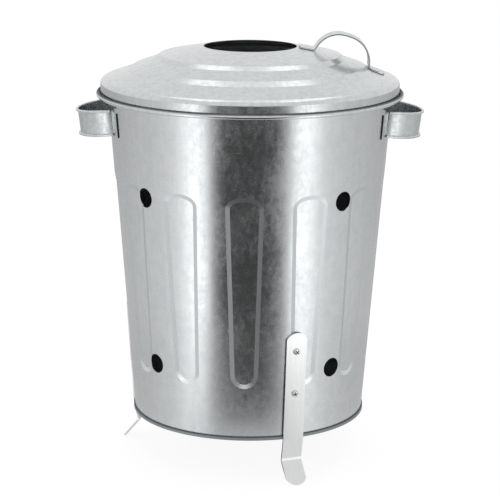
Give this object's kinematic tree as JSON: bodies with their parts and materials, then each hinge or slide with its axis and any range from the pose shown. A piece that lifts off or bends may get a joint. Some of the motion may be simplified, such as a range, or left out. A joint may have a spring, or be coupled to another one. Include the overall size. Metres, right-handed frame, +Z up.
{
  "type": "garden incinerator bin",
  "caption": "Tapered galvanised steel bin with pressed flutes, air holes, strap legs and loop handles, and a loose stepped lid with a round flue hole and an arched grip.",
  "frame": {"origin": "point on the floor under the middle of the bin, level with the tips of its feet", "axes": "+Z up along the bin's axis, -Y towards the front, +X towards the lid's grip and the right handle"},
  "size_m": [0.415, 0.365, 0.5118],
  "materials": {
    "galvanised_wall": "hot-dip galvanised sheet, glossy, with faint zinc mottle",
    "galvanised_lid": "hot-dip galvanised sheet, satin, with fine zinc mottle",
    "galvanised_handle": "hot-dip galvanised sheet, satin",
    "galvanised_wire": "galvanised drawn wire, dull",
    "zinc_plated_strap": "bright zinc plate on flat steel strap, satin",
    "zinc_plated_fastener": "bright zinc plate, semi-gloss"
  },
  "bodies": {
    "bin": {"body_shell": "galvanised_wall", "base_pan": "galvanised_wall", "left_handle": "galvanised_handle", "right_handle": "galvanised_handle", "rim_wire": "galvanised_wire", "front_leg": "zinc_plated_strap", "left_leg": "zinc_plated_strap", "right_leg": "zinc_plated_strap", "front_leg_screws": "zinc_plated_fastener", "left_leg_screws": "zinc_plated_fastener", "right_leg_screws": "zinc_plated_fastener", "front_leg_nuts": "zinc_plated_fastener", "left_leg_nuts": "zinc_plated_fastener", "right_leg_nuts": "zinc_plated_fastener"},
    "lid": {"lid_shell": "galvanised_lid", "lid_rim_wire": "galvanised_wire", "lid_handle": "galvanised_handle"}
  },
  "joints": [
    {"name": "lid_lift", "type": "slide", "parent": "bin", "child": "lid", "axis": [0, 0, 1], "range_m": [0, 0.25]}
  ]
}
